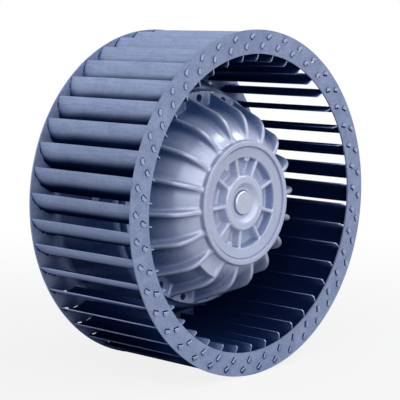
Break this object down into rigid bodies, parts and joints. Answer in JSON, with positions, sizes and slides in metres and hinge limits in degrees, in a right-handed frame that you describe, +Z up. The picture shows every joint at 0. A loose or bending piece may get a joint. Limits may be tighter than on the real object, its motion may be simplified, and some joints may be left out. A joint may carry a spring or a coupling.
{
  "type": "centrifugal fan",
  "caption": "Forward-curved centrifugal fan wheel of sheet steel carried on a ribbed external-rotor motor with a flange.",
  "frame": {"origin": "centre of the bolt circle in the stator flange's mounting face", "axes": "+Y along the shaft, out of the mounting face; the fan stands out towards -Y, where the air goes in; +Z is up"},
  "size_m": [0.315, 0.1403, 0.315],
  "materials": {
    "galvanised_sheet": "matte galvanised steel sheet with a fine speckle",
    "blade_sheet": "matte galvanised steel sheet, thin blades",
    "cast_aluminium": "satin die-cast aluminium",
    "flange_casting": "satin die-cast aluminium with machined faces",
    "plug_metal": "satin metal cap",
    "zinc_rivet": "bright zinc plated",
    "zinc_screw": "zinc plated",
    "rotor_iron": "stacked sheets with cast bars",
    "stator_iron": "stacked electrical sheets",
    "copper_winding": "enamelled copper wire, impregnated",
    "ground_steel": "ground steel",
    "bearing_steel": "polished bearing steel",
    "spring_steel": "dark spring steel",
    "grommet_rubber": "black rubber"
  },
  "bodies": {
    "motor_base": {"stator_flange": "flange_casting", "stator_core": "stator_iron", "stator_winding": "copper_winding", "front_bearing_outer": "bearing_steel", "rear_bearing_outer": "bearing_steel", "wave_spring": "spring_steel", "cable_grommet": "grommet_rubber"},
    "wheel": {"front_ring": "galvanised_sheet", "back_disc": "galvanised_sheet", "blade_01": "blade_sheet", "blade_02": "blade_sheet", "blade_03": "blade_sheet", "blade_04": "blade_sheet", "blade_05": "blade_sheet", "blade_06": "blade_sheet", "blade_07": "blade_sheet", "blade_08": "blade_sheet", "blade_09": "blade_sheet", "blade_10": "blade_sheet", "blade_11": "blade_sheet", "blade_12": "blade_sheet", "blade_13": "blade_sheet", "blade_14": "blade_sheet", "blade_15": "blade_sheet", "blade_16": "blade_sheet", "blade_17": "blade_sheet", "blade_18": "blade_sheet", "blade_19": "blade_sheet", "blade_20": "blade_sheet", "blade_21": "blade_sheet", "blade_22": "blade_sheet", "blade_23": "blade_sheet", "blade_24": "blade_sheet", "blade_25": "blade_sheet", "blade_26": "blade_sheet", "blade_27": "blade_sheet", "blade_28": "blade_sheet", "blade_29": "blade_sheet", "blade_30": "blade_sheet", "blade_31": "blade_sheet", "blade_32": "blade_sheet", "blade_33": "blade_sheet", "blade_34": "blade_sheet", "blade_35": "blade_sheet", "blade_36": "blade_sheet", "blade_37": "blade_sheet", "blade_38": "blade_sheet", "blade_39": "blade_sheet", "blade_40": "blade_sheet", "blade_41": "blade_sheet", "blade_42": "blade_sheet", "balance_weights": "zinc_rivet", "disc_screws": "zinc_screw", "rotor_housing": "cast_aluminium", "hub_plug": "plug_metal", "rotor_cage": "rotor_iron", "shaft": "ground_steel", "front_bearing_inner": "bearing_steel", "rear_bearing_inner": "bearing_steel", "retaining_ring": "spring_steel"}
  },
  "joints": [
    {"name": "wheel_spin", "type": "hinge", "parent": "motor_base", "child": "wheel", "pos_m": [0, -0.07, 0], "axis": [0, 1, 0], "continuous": true}
  ]
}
